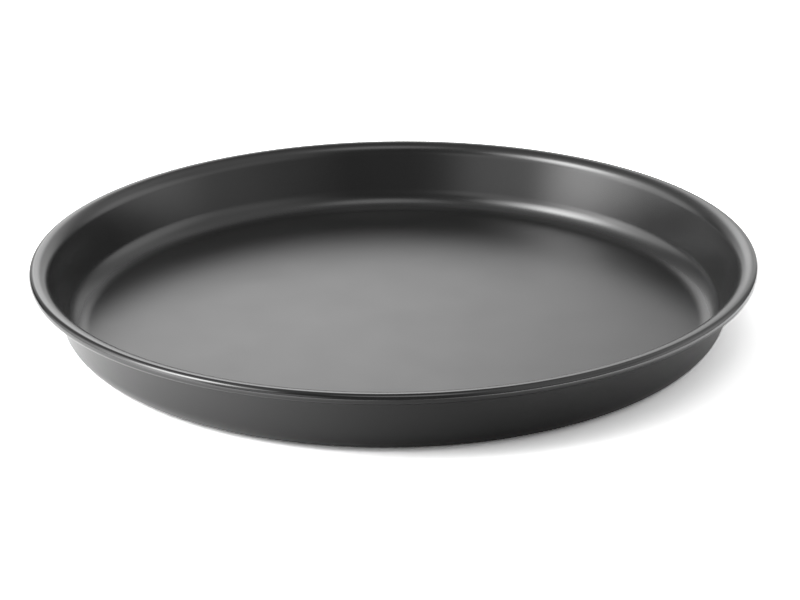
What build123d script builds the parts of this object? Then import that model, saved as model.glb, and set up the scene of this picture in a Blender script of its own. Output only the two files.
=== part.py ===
from build123d import *
from math import asin, cos, degrees, radians, sin
import os

# Round pizza pan: a steel pressing with a wired, rolled rim, coated inside and out.
# Lengths are in millimetres. +Z is up, and the pan stands on Z = 0 with its centre on the Z axis.

os.makedirs("parts", exist_ok=True)

# Driving sizes of the pan
rim_diameter = 320.0  # over the rolled edge
pan_height = 31.5  # table to the top of the rim
wall_angle = 75.0  # degrees between the floor and the straight wall
cove_radius = 11.0  # food side, where the floor turns up into the wall
flare_radius = 7.0  # food side, where the wall turns out to the rim
steel_thickness = 0.65
coat_thickness = 0.1  # non-stick coat, the same inside and outside

# Driving sizes of the wired edge
wire_diameter = 2.5
wire_clearance = 0.15  # left between the wire and the steel rolled round it
wire_butt_gap = 0.6  # between the two cut ends of the wire ring
roll_gap = 0.4  # between the cut edge of the roll and the coated underside of the flare

# Depths below the food side, through the coated sheet
steel_top = coat_thickness
steel_bottom = steel_top + steel_thickness
sheet_bottom = steel_bottom + coat_thickness

# Centres of the three turns that the sheet makes, all in one section through the axis
bead_radius = wire_diameter / 2 + wire_clearance + steel_bottom
crest_radius = rim_diameter / 2 - bead_radius
bead_centre_z = pan_height - bead_radius
flare_centre_z = pan_height - flare_radius
cove_centre_z = sheet_bottom + cove_radius
wall_sine = sin(radians(wall_angle))
wall_cosine = cos(radians(wall_angle))
turns_run = flare_radius * (1 - wall_cosine) + cove_radius
wall_run = wall_cosine * (pan_height - cove_centre_z)
floor_radius = crest_radius - (turns_run + wall_run) / wall_sine  # where the flat floor ends

# The roll stops where its outer edge comes within the roll gap of the flare's underside
centre_drop = flare_radius - bead_radius
mouth_reach = flare_radius - sheet_bottom - roll_gap
mouth_sine = (mouth_reach**2 - bead_radius**2 - centre_drop**2) / (2 * bead_radius * centre_drop)
mouth_rise = degrees(asin(mouth_sine))  # of the roll's cut edge above the wire's centre
crest_to_inner_side = 270  # degrees, from the crest over the outside and under the wire
roll_turn = crest_to_inner_side + mouth_rise
mouth_offset = bead_radius * cos(radians(mouth_rise))  # of the cut edge from the crest, inwards
mouth_lean = degrees(asin(mouth_offset / mouth_reach))  # seen from the flare's centre


def trace_skin(depth, rolled):
    """Draw one skin of the sheet, at a depth below the food side, and return its two ends.

    A rolled skin runs on over the crest and round the wire. The other stops at the mouth of the roll.
    """
    flare_turn = wall_angle if rolled else wall_angle - mouth_lean
    cove = CenterArc((floor_radius, cove_centre_z), cove_radius + depth, -90, wall_angle)
    flare = CenterArc((crest_radius, flare_centre_z), flare_radius - depth, 90 + wall_angle, -flare_turn)
    centre = (0, sheet_bottom - depth)
    Line(centre, cove @ 0)
    Line(cove @ 1, flare @ 0)
    if not rolled:
        return centre, flare @ 1
    roll = CenterArc((crest_radius, bead_centre_z), bead_radius - depth, 90, -roll_turn)
    return centre, roll @ 1


def close_section(upper, lower):
    """Join the ends of two skins into one closed section."""
    Line(upper[0], lower[0])
    Line(upper[1], lower[1])


# Steel pressing: floor, cove, wall, flare and the roll that holds the wire
with BuildPart() as steel_pressing:
    with BuildSketch(Plane.XZ):
        with BuildLine():
            close_section(trace_skin(steel_top, True), trace_skin(steel_bottom, True))
        make_face()
    revolve(axis=Axis.Z)
steel_pressing.part.label = "steel_pressing"
export_step(steel_pressing.part, "parts/steel_pressing.step")

# Rim wire: one length of round wire bent to a ring, with its cut ends butted
butt_angle = degrees(wire_butt_gap / crest_radius)
with BuildPart() as rim_wire:
    with BuildSketch(Plane.XZ):
        with Locations((crest_radius, bead_centre_z)):
            Circle(wire_diameter / 2)
    revolve(axis=Axis.Z, revolution_arc=360 - butt_angle)
rim_wire.part.label = "rim_wire"
export_step(rim_wire.part, "parts/rim_wire.step")

# Inside coating: on the food side, over the crest and round the bead to the cut edge
with BuildPart() as inside_coating:
    with BuildSketch(Plane.XZ):
        with BuildLine():
            close_section(trace_skin(0, True), trace_skin(steel_top, True))
        make_face()
    revolve(axis=Axis.Z)
inside_coating.part.label = "inside_coating"
export_step(inside_coating.part, "parts/inside_coating.step")

# Outside coating: under the floor and up the outer wall to the mouth of the roll
with BuildPart() as outside_coating:
    with BuildSketch(Plane.XZ):
        with BuildLine():
            close_section(trace_skin(steel_bottom, False), trace_skin(sheet_bottom, False))
        make_face()
    revolve(axis=Axis.Z)
outside_coating.part.label = "outside_coating"
export_step(outside_coating.part, "parts/outside_coating.step")
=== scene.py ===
from math import asin, cos, pi, radians, sin

import bmesh
import bpy
from mathutils import Matrix, Vector


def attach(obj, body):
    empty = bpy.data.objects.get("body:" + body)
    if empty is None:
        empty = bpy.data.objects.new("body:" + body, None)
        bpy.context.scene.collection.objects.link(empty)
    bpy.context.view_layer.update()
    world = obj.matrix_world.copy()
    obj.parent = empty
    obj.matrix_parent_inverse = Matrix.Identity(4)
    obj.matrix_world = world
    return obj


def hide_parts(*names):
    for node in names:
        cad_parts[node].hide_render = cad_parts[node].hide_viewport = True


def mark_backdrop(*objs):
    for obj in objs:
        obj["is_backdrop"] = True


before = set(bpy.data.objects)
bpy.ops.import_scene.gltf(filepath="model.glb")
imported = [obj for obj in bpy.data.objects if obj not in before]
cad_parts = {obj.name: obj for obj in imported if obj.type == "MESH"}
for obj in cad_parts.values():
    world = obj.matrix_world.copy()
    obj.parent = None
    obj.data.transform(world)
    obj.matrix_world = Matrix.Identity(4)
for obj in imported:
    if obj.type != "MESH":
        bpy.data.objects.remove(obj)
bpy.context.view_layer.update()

mm = 0.001

# The pressed sheet, with its sizes taken along one section through the axis
sheet = dict(
    rimRadius=160 * mm,
    height=31.5 * mm,
    wallAngle=radians(75),  # from the floor
    coveRadius=11 * mm,  # food side, floor to wall
    flareRadius=7 * mm,  # food side, wall to rim
    coat=0.1 * mm,
    steel=0.65 * mm,
    rollGap=0.4 * mm,  # at the mouth of the roll
)
wire = dict(radius=1.25 * mm, clearance=0.15 * mm, buttGap=0.6 * mm, sides=24)

steelTop = sheet["coat"]
steelBottom = steelTop + sheet["steel"]
sheetBottom = steelBottom + sheet["coat"]
beadRadius = wire["radius"] + wire["clearance"] + steelBottom
crestRadius = sheet["rimRadius"] - beadRadius
beadCentre = Vector((crestRadius, sheet["height"] - beadRadius))
flareCentre = Vector((crestRadius, sheet["height"] - sheet["flareRadius"]))
coveHeight = sheetBottom + sheet["coveRadius"]
turnsRun = sheet["flareRadius"] * (1 - cos(sheet["wallAngle"])) + sheet["coveRadius"]
wallRun = cos(sheet["wallAngle"]) * (sheet["height"] - coveHeight)
floorRadius = crestRadius - (turnsRun + wallRun) / sin(sheet["wallAngle"])
coveCentre = Vector((floorRadius, coveHeight))

# Where the roll stops, as in the solids
centreDrop = sheet["flareRadius"] - beadRadius
mouthReach = sheet["flareRadius"] - sheetBottom - sheet["rollGap"]
mouthRise = asin((mouthReach**2 - beadRadius**2 - centreDrop**2) / (2 * beadRadius * centreDrop))
rollTurn = 1.5 * pi + mouthRise
mouthLean = asin(beadRadius * cos(mouthRise) / mouthReach)

lathe = dict(
    sides=288,
    arcStep=radians(4),  # between rings on the cove and the flare
    rollStep=radians(9),
    leastSteps=2,
    hold=0.4 * mm,  # a ring this far from each bend keeps the flats flat
    floorRings=6,
    wallRings=3,
    sharpFrom=radians(40),  # edges with a larger turn stay sharp
    nearZero=1e-9,
)


def arcPoints(centre, radius, start, turn, step):
    count = max(lathe["leastSteps"], round(abs(turn) / step))
    angles = [start + turn * i / count for i in range(count + 1)]
    return [centre + radius * Vector((cos(a), sin(a))) for a in angles]


def straightPoints(start, end, parts):
    run = end - start
    hold = lathe["hold"] / run.length
    shares = [hold] + [i / parts for i in range(1, parts)] + [1 - hold]
    return [start + run * share for share in shares]


# One skin of the sheet, from the centre of the floor outwards
def skinPoints(depth, rolled):
    wall = sheet["wallAngle"]
    flareTurn = wall if rolled else wall - mouthLean
    cove = arcPoints(coveCentre, sheet["coveRadius"] + depth, -pi / 2, wall, lathe["arcStep"])
    flare = arcPoints(flareCentre, sheet["flareRadius"] - depth, pi / 2 + wall, -flareTurn, lathe["arcStep"])
    centre = Vector((0, sheetBottom - depth))
    points = [centre] + straightPoints(centre, cove[0], lathe["floorRings"])[1:] + cove
    points += straightPoints(cove[-1], flare[0], lathe["wallRings"]) + flare
    if rolled:
        roll = arcPoints(beadCentre, beadRadius - depth, pi / 2, -rollTurn, lathe["rollStep"])
        points += roll[1:]
    return points


# Turns a section about the Z axis into a closed mesh
def latheMesh(name, section, turn=2 * pi, closed=False):
    whole = turn > 2 * pi - lathe["nearZero"]
    sides = lathe["sides"]
    bm = bmesh.new()
    rings = []
    for point in section:
        if point.x < lathe["nearZero"]:
            rings.append([bm.verts.new((0, 0, point.y))] * (sides + 1))
            continue
        count = sides if whole else sides + 1
        angles = [turn * i / sides for i in range(count)]
        ring = [bm.verts.new((point.x * cos(a), point.x * sin(a), point.y)) for a in angles]
        rings.append(ring + ring[:1] if whole else ring)
    pairs = list(zip(rings, rings[1:])) + ([(rings[-1], rings[0])] if closed else [])
    for inner, outer in pairs:
        for i in range(sides):
            corners = [inner[i], outer[i], outer[i + 1], inner[i + 1]]
            bm.faces.new(list(dict.fromkeys(corners)))
    if not whole:
        bm.faces.new([ring[0] for ring in rings])
        bm.faces.new([ring[-1] for ring in reversed(rings)])
    bmesh.ops.recalc_face_normals(bm, faces=bm.faces)
    mesh = bpy.data.meshes.new(name)
    bm.to_mesh(mesh)
    bm.free()
    mesh.polygons.foreach_set("use_smooth", [True] * len(mesh.polygons))
    mesh.set_sharp_from_angle(angle=lathe["sharpFrom"])
    piece = bpy.data.objects.new(name, mesh)
    bpy.context.scene.collection.objects.link(piece)
    return piece


print("pan: turning the sheet, its coats and the wire")
foodCoat = latheMesh("foodCoat", skinPoints(0, True) + skinPoints(steelTop, True)[::-1])
pressedSheet = latheMesh("pressedSheet", skinPoints(steelTop, True) + skinPoints(steelBottom, True)[::-1])
underCoat = latheMesh("underCoat", skinPoints(steelBottom, False) + skinPoints(sheetBottom, False)[::-1])
wireSection = arcPoints(beadCentre, wire["radius"], 0, 2 * pi, 2 * pi / wire["sides"])[:-1]
rimWire = latheMesh("rimWire", wireSection, 2 * pi - wire["buttGap"] / crestRadius, closed=True)

for piece, node, slot in (
    (foodCoat, "inside_coating", "inside_coat"),
    (pressedSheet, "steel_pressing", "sheet_steel"),
    (underCoat, "outside_coating", "outside_coat"),
    (rimWire, "rim_wire", "wire_steel"),
):
    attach(piece, "root")
    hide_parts(node)


# A node with its inputs set by name, and links made where an output is given
def addNode(tree, kind, values=None, **settings):
    node = tree.nodes.new(kind)
    for name, value in settings.items():
        setattr(node, name, value)
    for name, value in (values or {}).items():
        socket = node.inputs[name]
        if isinstance(value, bpy.types.NodeSocket):
            tree.links.new(value, socket)
        else:
            socket.default_value = value
    return node


# A group's inputs are numbers, but for those whose name ends in Colour
def newGroup(name, inputs, outputs):
    group = bpy.data.node_groups.new(name, "ShaderNodeTree")
    for way, names in (("INPUT", inputs), ("OUTPUT", outputs)):
        for socket in names:
            kind = "NodeSocketColor" if socket.endswith("Colour") else "NodeSocketFloat"
            group.interface.new_socket(socket, in_out=way, socket_type=kind)
    return group


# The sprayed coat's own surface: a fine orange peel, slow mottling and a few faint rub marks
coatInputs = (
    "peelSize", "mottleSize", "rubDrop", "dark", "light", "smooth", "rough", "floorDulling", "rimPolish",
)
coatPattern = dict(
    peelDetail=2.0,
    mottleDetail=5.0,
    shadeFrom=0.3,  # share of the mottling where the shade starts to rise
    shadeTo=0.7,
    roughFrom=0.25,
    roughTo=0.75,
    rubStretch=(14.0, 260.0, 60.0),
    rubTurn=(0, 0, 0.6),
    rubSize=1.0,
    rubDetail=3.0,
    rubFrom=0.6,
    rubTo=0.78,
    floorTop=0.9 * mm,  # the floor's dulling fades out from here
    floorFade=3 * mm,  # to here
    levelOnly=(1, 1, 0),  # leaves the height out of a distance
    rimInside=0.6 * mm,  # the bead's polish starts this far inside the crest
    rimOutside=0.4 * mm,  # and is full this far outside it
)


def makeCoatSurface():
    group = newGroup("coatSurface", coatInputs, ("coatColour", "roughness", "height"))
    given = addNode(group, "NodeGroupInput").outputs
    place = addNode(group, "ShaderNodeTexCoord").outputs["Object"]

    peel = addNode(group, "ShaderNodeTexNoise", {
        "Vector": place, "Scale": given["peelSize"], "Detail": coatPattern["peelDetail"]})
    mottle = addNode(group, "ShaderNodeTexNoise", {
        "Vector": place, "Scale": given["mottleSize"], "Detail": coatPattern["mottleDetail"]})
    shade = addNode(group, "ShaderNodeMapRange", {
        "Value": mottle.outputs[0],
        "From Min": coatPattern["shadeFrom"], "From Max": coatPattern["shadeTo"],
        "To Min": given["dark"], "To Max": given["light"]})
    grey = addNode(group, "ShaderNodeCombineColor", {
        "Red": shade.outputs[0], "Green": shade.outputs[0], "Blue": shade.outputs[0]})
    mottled = addNode(group, "ShaderNodeMapRange", {
        "Value": mottle.outputs[0],
        "From Min": coatPattern["roughFrom"], "From Max": coatPattern["roughTo"],
        "To Min": given["smooth"], "To Max": given["rough"]})

    stretch = addNode(group, "ShaderNodeMapping", {
        "Vector": place, "Scale": coatPattern["rubStretch"], "Rotation": coatPattern["rubTurn"]})
    rub = addNode(group, "ShaderNodeTexNoise", {
        "Vector": stretch.outputs[0], "Scale": coatPattern["rubSize"], "Detail": coatPattern["rubDetail"]})
    rubMask = addNode(group, "ShaderNodeMapRange", {
        "Value": rub.outputs[0],
        "From Min": coatPattern["rubFrom"], "From Max": coatPattern["rubTo"],
        "To Min": 0.0, "To Max": given["rubDrop"]})
    rubbed = addNode(group, "ShaderNodeMath", {
        0: mottled.outputs[0], 1: rubMask.outputs[0]}, operation="SUBTRACT")

    above = addNode(group, "ShaderNodeSeparateXYZ", {0: place}).outputs["Z"]
    floorMask = addNode(group, "ShaderNodeMapRange", {
        "Value": above,
        "From Min": coatPattern["floorTop"], "From Max": coatPattern["floorFade"],
        "To Min": given["floorDulling"], "To Max": 0.0})
    dulled = addNode(group, "ShaderNodeMath", {
        0: rubbed.outputs[0], 1: floorMask.outputs[0]}, operation="ADD")

    flat = addNode(group, "ShaderNodeVectorMath", {
        0: place, 1: coatPattern["levelOnly"]}, operation="MULTIPLY")
    reach = addNode(group, "ShaderNodeVectorMath", {0: flat.outputs[0]}, operation="LENGTH")
    rimMask = addNode(group, "ShaderNodeMapRange", {
        "Value": reach.outputs["Value"],
        "From Min": crestRadius - coatPattern["rimInside"],
        "From Max": crestRadius + coatPattern["rimOutside"],
        "To Min": 0.0, "To Max": given["rimPolish"]})
    polished = addNode(group, "ShaderNodeMath", {
        0: dulled.outputs[0], 1: rimMask.outputs[0]}, operation="SUBTRACT")

    addNode(group, "NodeGroupOutput", {
        "coatColour": grey.outputs[0], "roughness": polished.outputs[0], "height": peel.outputs[0]})
    return group


# Bare steel's fine grain, in the sheet and in the wire
steelInputs = ("grain", "detail", "darkColour", "lightColour", "smooth", "rough")


def makeSteelGrain():
    group = newGroup("steelGrain", steelInputs, ("grainColour", "roughness", "height"))
    given = addNode(group, "NodeGroupInput").outputs
    place = addNode(group, "ShaderNodeTexCoord").outputs["Object"]
    grain = addNode(group, "ShaderNodeTexNoise", {
        "Vector": place, "Scale": given["grain"], "Detail": given["detail"]})
    shade = addNode(group, "ShaderNodeMix", {
        "Factor": grain.outputs[0], "A": given["darkColour"], "B": given["lightColour"]}, data_type="RGBA")
    rough = addNode(group, "ShaderNodeMapRange", {
        "Value": grain.outputs[0], "To Min": given["smooth"], "To Max": given["rough"]})
    addNode(group, "NodeGroupOutput", {
        "grainColour": shade.outputs["Result"], "roughness": rough.outputs[0], "height": grain.outputs[0]})
    return group


# A new material whose shader takes its colour, roughness and bump from a surface group
def surfaceMaterial(name, group, finish):
    material = bpy.data.materials.new(name)
    material.use_nodes = True
    tree = material.node_tree
    surface = addNode(tree, "ShaderNodeGroup", node_tree=group)
    for socket in surface.inputs:
        socket.default_value = finish[socket.name]
    colour, roughness, height = surface.outputs
    bump = addNode(tree, "ShaderNodeBump", {
        "Height": height, "Strength": finish["bumpStrength"], "Distance": finish["bumpDepth"]})
    shader = tree.nodes["Principled BSDF"]
    tree.links.new(colour, shader.inputs["Base Color"])
    tree.links.new(roughness, shader.inputs["Roughness"])
    tree.links.new(bump.outputs[0], shader.inputs["Normal"])
    return material, shader


def coatMaterial(name, finish):
    material, shader = surfaceMaterial(name, coatSurface, finish)
    shader.inputs["IOR"].default_value = finish["ior"]
    shader.inputs["Specular IOR Level"].default_value = finish["sheen"]
    return material


def steelMaterial(name, finish):
    material, shader = surfaceMaterial(name, steelGrain, finish)
    shader.inputs["Metallic"].default_value = finish["metal"]
    return material


print("finish: coats and bare steel")
coatSurface = makeCoatSurface()
steelGrain = makeSteelGrain()

foodFinish = dict(
    peelSize=900.0,
    mottleSize=38.0,
    rubDrop=0.01,  # how much smoother the rub marks are
    dark=0.0105,
    light=0.0138,
    smooth=0.225,
    rough=0.255,
    floorDulling=0.075,  # how much rougher the floor is
    rimPolish=0.16,  # how much smoother the bead is
    bumpStrength=0.25,
    bumpDepth=0.004 * mm,
    ior=1.55,
    sheen=0.85,
)
underFinish = dict(
    peelSize=700.0,
    mottleSize=30.0,
    rubDrop=0.02,
    dark=0.0105,
    light=0.0138,
    smooth=0.24,
    rough=0.28,
    floorDulling=0.03,
    rimPolish=0.0,
    bumpStrength=0.3,
    bumpDepth=0.005 * mm,
    ior=1.55,
    sheen=0.85,
)
sheetFinish = dict(
    grain=900.0,
    detail=4.0,
    darkColour=(0.3, 0.3, 0.31, 1),
    lightColour=(0.42, 0.42, 0.43, 1),
    smooth=0.25,
    rough=0.45,
    bumpStrength=0.2,
    bumpDepth=0.02 * mm,
    metal=1.0,
)
wireFinish = dict(
    grain=1500.0,
    detail=4.0,
    darkColour=(0.42, 0.42, 0.43, 1),
    lightColour=(0.55, 0.55, 0.56, 1),
    smooth=0.25,
    rough=0.45,
    bumpStrength=0.2,
    bumpDepth=0.02 * mm,
    metal=1.0,
)
foodCoat.data.materials.append(coatMaterial("foodCoatSatin", foodFinish))
underCoat.data.materials.append(coatMaterial("underCoatSatin", underFinish))
pressedSheet.data.materials.append(steelMaterial("pressedSteel", sheetFinish))
rimWire.data.materials.append(steelMaterial("drawnWire", wireFinish))

# The table: one white as it lights the pan, a brighter one to the camera, and in reflections a painted shade
# in the middle with painted light to both sides
table = dict(
    half=6.0,
    drop=0.05 * mm,  # below the pan, so that the two never share a plane
    lit=(0.8, 0.8, 0.8, 1),  # as it lights the pan
    shown=(2.95, 2.95, 2.95, 1),
    paintedShadeAt=0.035,  # painted shade: reflections see it darkest here, and painted light makes it brighter to both sides
    paintedLightAfter=0.24,
    mirrorPaintedShade=0.43,
    mirrorPaintedLight=2.35,
)


def tableMaterial():
    material = bpy.data.materials.new("tableWhite")
    material.use_nodes = True
    tree = material.node_tree
    tree.nodes.clear()
    place = addNode(tree, "ShaderNodeTexCoord").outputs["Object"]
    # Painted shade and painted light in reflections: the table's reflected colour is darkest along one line
    # across it and grows brighter to both sides
    across = addNode(tree, "ShaderNodeSeparateXYZ", {0: place}).outputs["X"]
    offset = addNode(tree, "ShaderNodeMath", {0: across, 1: table["paintedShadeAt"]}, operation="SUBTRACT")
    aside = addNode(tree, "ShaderNodeMath", {0: offset.outputs[0]}, operation="ABSOLUTE")
    mirrored = addNode(tree, "ShaderNodeMapRange", {
        "Value": aside.outputs[0], "From Max": table["paintedLightAfter"],
        "To Min": table["mirrorPaintedShade"], "To Max": table["mirrorPaintedLight"]}, interpolation_type="SMOOTHSTEP")

    ray = addNode(tree, "ShaderNodeLightPath").outputs
    inMirror = addNode(tree, "ShaderNodeMath", {
        0: ray["Is Glossy Ray"], 1: ray["Is Transmission Ray"]}, operation="ADD")
    unseen = addNode(tree, "ShaderNodeMix", {
        "Factor": inMirror.outputs[0], "A": table["lit"], "B": mirrored.outputs[0]}, data_type="RGBA")
    white = addNode(tree, "ShaderNodeMix", {
        "Factor": ray["Is Camera Ray"], "A": unseen.outputs["Result"], "B": table["shown"]}, data_type="RGBA")
    matt = addNode(tree, "ShaderNodeBsdfDiffuse", {"Color": white.outputs["Result"]})
    addNode(tree, "ShaderNodeOutputMaterial", {"Surface": matt.outputs[0]})
    return material


def makeTable():
    half = table["half"]
    bm = bmesh.new()
    outline = ((-half, -half), (half, -half), (half, half), (-half, half))
    bm.faces.new([bm.verts.new((x, y, -table["drop"])) for x, y in outline])
    mesh = bpy.data.meshes.new("table")
    bm.to_mesh(mesh)
    bm.free()
    mesh.materials.append(tableMaterial())
    piece = bpy.data.objects.new("table", mesh)
    bpy.context.scene.collection.objects.link(piece)
    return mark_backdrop(piece)


print("studio: table, light and camera")
makeTable()

# The room's light: round patches of sky over an even level, all in degrees. Turn runs from the back
# through the right, rise from the horizon, and a patch fades out between its two radii.
skyLevel = 0.103
shownLevel = 1.0  # of the room as the camera sees it
white = (1, 1, 1, 1)
skyPatches = (
    dict(name="keyBox", turn=259, rise=41, inner=8, outer=19, glow=4.7),
    dict(name="keyCore", turn=262, rise=45, inner=3, outer=12, glow=3.76),
    dict(name="keyMiddle", turn=260, rise=27, inner=4, outer=20, glow=0.658),
    dict(name="keyFront", turn=245, rise=46, inner=4, outer=18, glow=2.6),
    dict(name="keyBack", turn=280, rise=37, inner=4, outer=14, glow=1.22),
    dict(name="keyWide", turn=268, rise=40, inner=10, outer=36, glow=0.733),
    dict(name="keyLow", turn=257, rise=14, inner=5, outer=24, glow=1.79),
    dict(name="keyFoot", turn=248, rise=3, inner=2, outer=19, glow=1.98),
    dict(name="leftLow", turn=285, rise=10, inner=6, outer=28, glow=1.41),
    dict(name="backdrop", turn=354, rise=24, inner=4, outer=15.5, glow=1.5),
    dict(name="backWide", turn=0, rise=8, inner=8, outer=40, glow=0.912),
    dict(name="backLeft", turn=320, rise=42, inner=8, outer=36, glow=0.226),
    dict(name="backRight", turn=40, rise=30, inner=8, outer=36, glow=0.282),
    dict(name="rightWide", turn=92, rise=42, inner=15, outer=55, glow=0.47),
    dict(name="rightLow", turn=80, rise=8, inner=8, outer=34, glow=0.705),
    dict(name="topBox", turn=172, rise=77, inner=3, outer=17, glow=1.17),
    dict(name="frontWide", turn=185, rise=12, inner=5, outer=35, glow=0.0658),
    dict(name="frontLeft", turn=220, rise=20, inner=6, outer=24, glow=0.808),
    dict(name="frontRight", turn=132, rise=16, inner=8, outer=34, glow=0.216),
    dict(name="leftTop", turn=290, rise=68, inner=5, outer=26, glow=0.179),
)


# The patches added up light the pan, and the camera itself sees plain white
def makeRoom():
    world = bpy.data.worlds.new("room")
    bpy.context.scene.world = world
    world.use_nodes = True
    tree = world.node_tree
    tree.nodes.clear()
    way = addNode(tree, "ShaderNodeTexCoord").outputs["Generated"]
    even = addNode(tree, "ShaderNodeValue", label="skyLevel")
    even.outputs[0].default_value = skyLevel
    light = even.outputs[0]
    for patch in skyPatches:
        turn, rise = radians(patch["turn"]), radians(patch["rise"])
        centre = (sin(turn) * cos(rise), cos(turn) * cos(rise), sin(rise))
        nearness = addNode(tree, "ShaderNodeVectorMath", {0: way, 1: centre}, operation="DOT_PRODUCT")
        glow = addNode(tree, "ShaderNodeMapRange", {
            "Value": nearness.outputs["Value"],
            "From Min": cos(radians(patch["outer"])), "From Max": cos(radians(patch["inner"])),
            "To Max": patch["glow"]}, interpolation_type="SMOOTHSTEP", label=patch["name"])
        light = addNode(tree, "ShaderNodeMath", {0: light, 1: glow.outputs[0]}, operation="ADD").outputs[0]
    ray = addNode(tree, "ShaderNodeLightPath").outputs["Is Camera Ray"]
    strength = addNode(tree, "ShaderNodeMix", {
        "Factor": ray, "A": light, "B": shownLevel}, data_type="FLOAT")
    background = addNode(tree, "ShaderNodeBackground", {
        "Color": white, "Strength": strength.outputs["Result"]})
    addNode(tree, "ShaderNodeOutputWorld", {"Surface": background.outputs[0]})


makeRoom()

# The camera stands in front of the pan and looks down on it
eye = dict(
    away=0.862,
    rise=radians(22.15),
    yaw=radians(0.18),
    pitch=radians(0.335),
    roll=radians(-0.68),
    lens=86.07,
    film=36,
    nearest=0.01,
)


def makeCamera():
    away = eye["away"] * Vector((0, -cos(eye["rise"]), sin(eye["rise"])))
    ahead = -away.normalized()
    right = Vector((1, 0, 0))
    up = right.cross(ahead)
    level = ahead * cos(eye["yaw"]) + right * sin(eye["yaw"])
    look = (level * cos(eye["pitch"]) + up * sin(eye["pitch"])).normalized()
    side = look.cross(up).normalized()
    over = side.cross(look)
    turnedSide = side * cos(eye["roll"]) + over * sin(eye["roll"])
    turnedOver = over * cos(eye["roll"]) - side * sin(eye["roll"])
    data = bpy.data.cameras.new("eye")
    data.lens = eye["lens"]
    data.sensor_width = eye["film"]
    data.clip_start = eye["nearest"]
    holder = bpy.data.objects.new("eye", data)
    turn = Matrix((turnedSide, turnedOver, -look)).transposed()
    holder.matrix_world = Matrix.Translation(away) @ turn.to_4x4()
    bpy.context.scene.collection.objects.link(holder)
    bpy.context.scene.camera = holder


makeCamera()
bpy.context.scene.view_settings.view_transform = "Standard"
